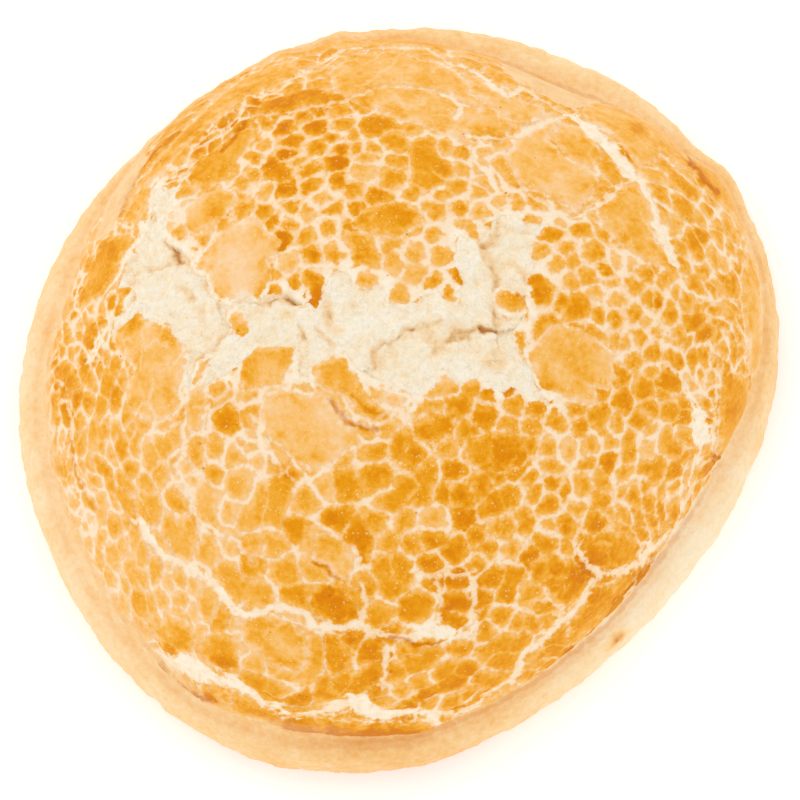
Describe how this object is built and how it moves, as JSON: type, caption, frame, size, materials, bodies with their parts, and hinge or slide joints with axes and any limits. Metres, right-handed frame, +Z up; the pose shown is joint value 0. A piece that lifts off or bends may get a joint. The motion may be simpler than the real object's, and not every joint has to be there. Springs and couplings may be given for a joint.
{
  "type": "tiger bread roll",
  "caption": "Low round bread roll with a crackled golden topping, torn open across the crown over white crumb, and a bare pale side above a flat base.",
  "frame": {"origin": "centre of the roll's box, at the flat base it rests on", "axes": "+Z up through the crown, +X along the longer side of the box, -Y towards the viewer"},
  "size_m": [0.1182, 0.117, 0.05],
  "materials": {
    "roll": "baked crust, warm gold, nearly matt"
  },
  "bodies": {
    "root": {"roll": "roll"}
  },
  "joints": []
}
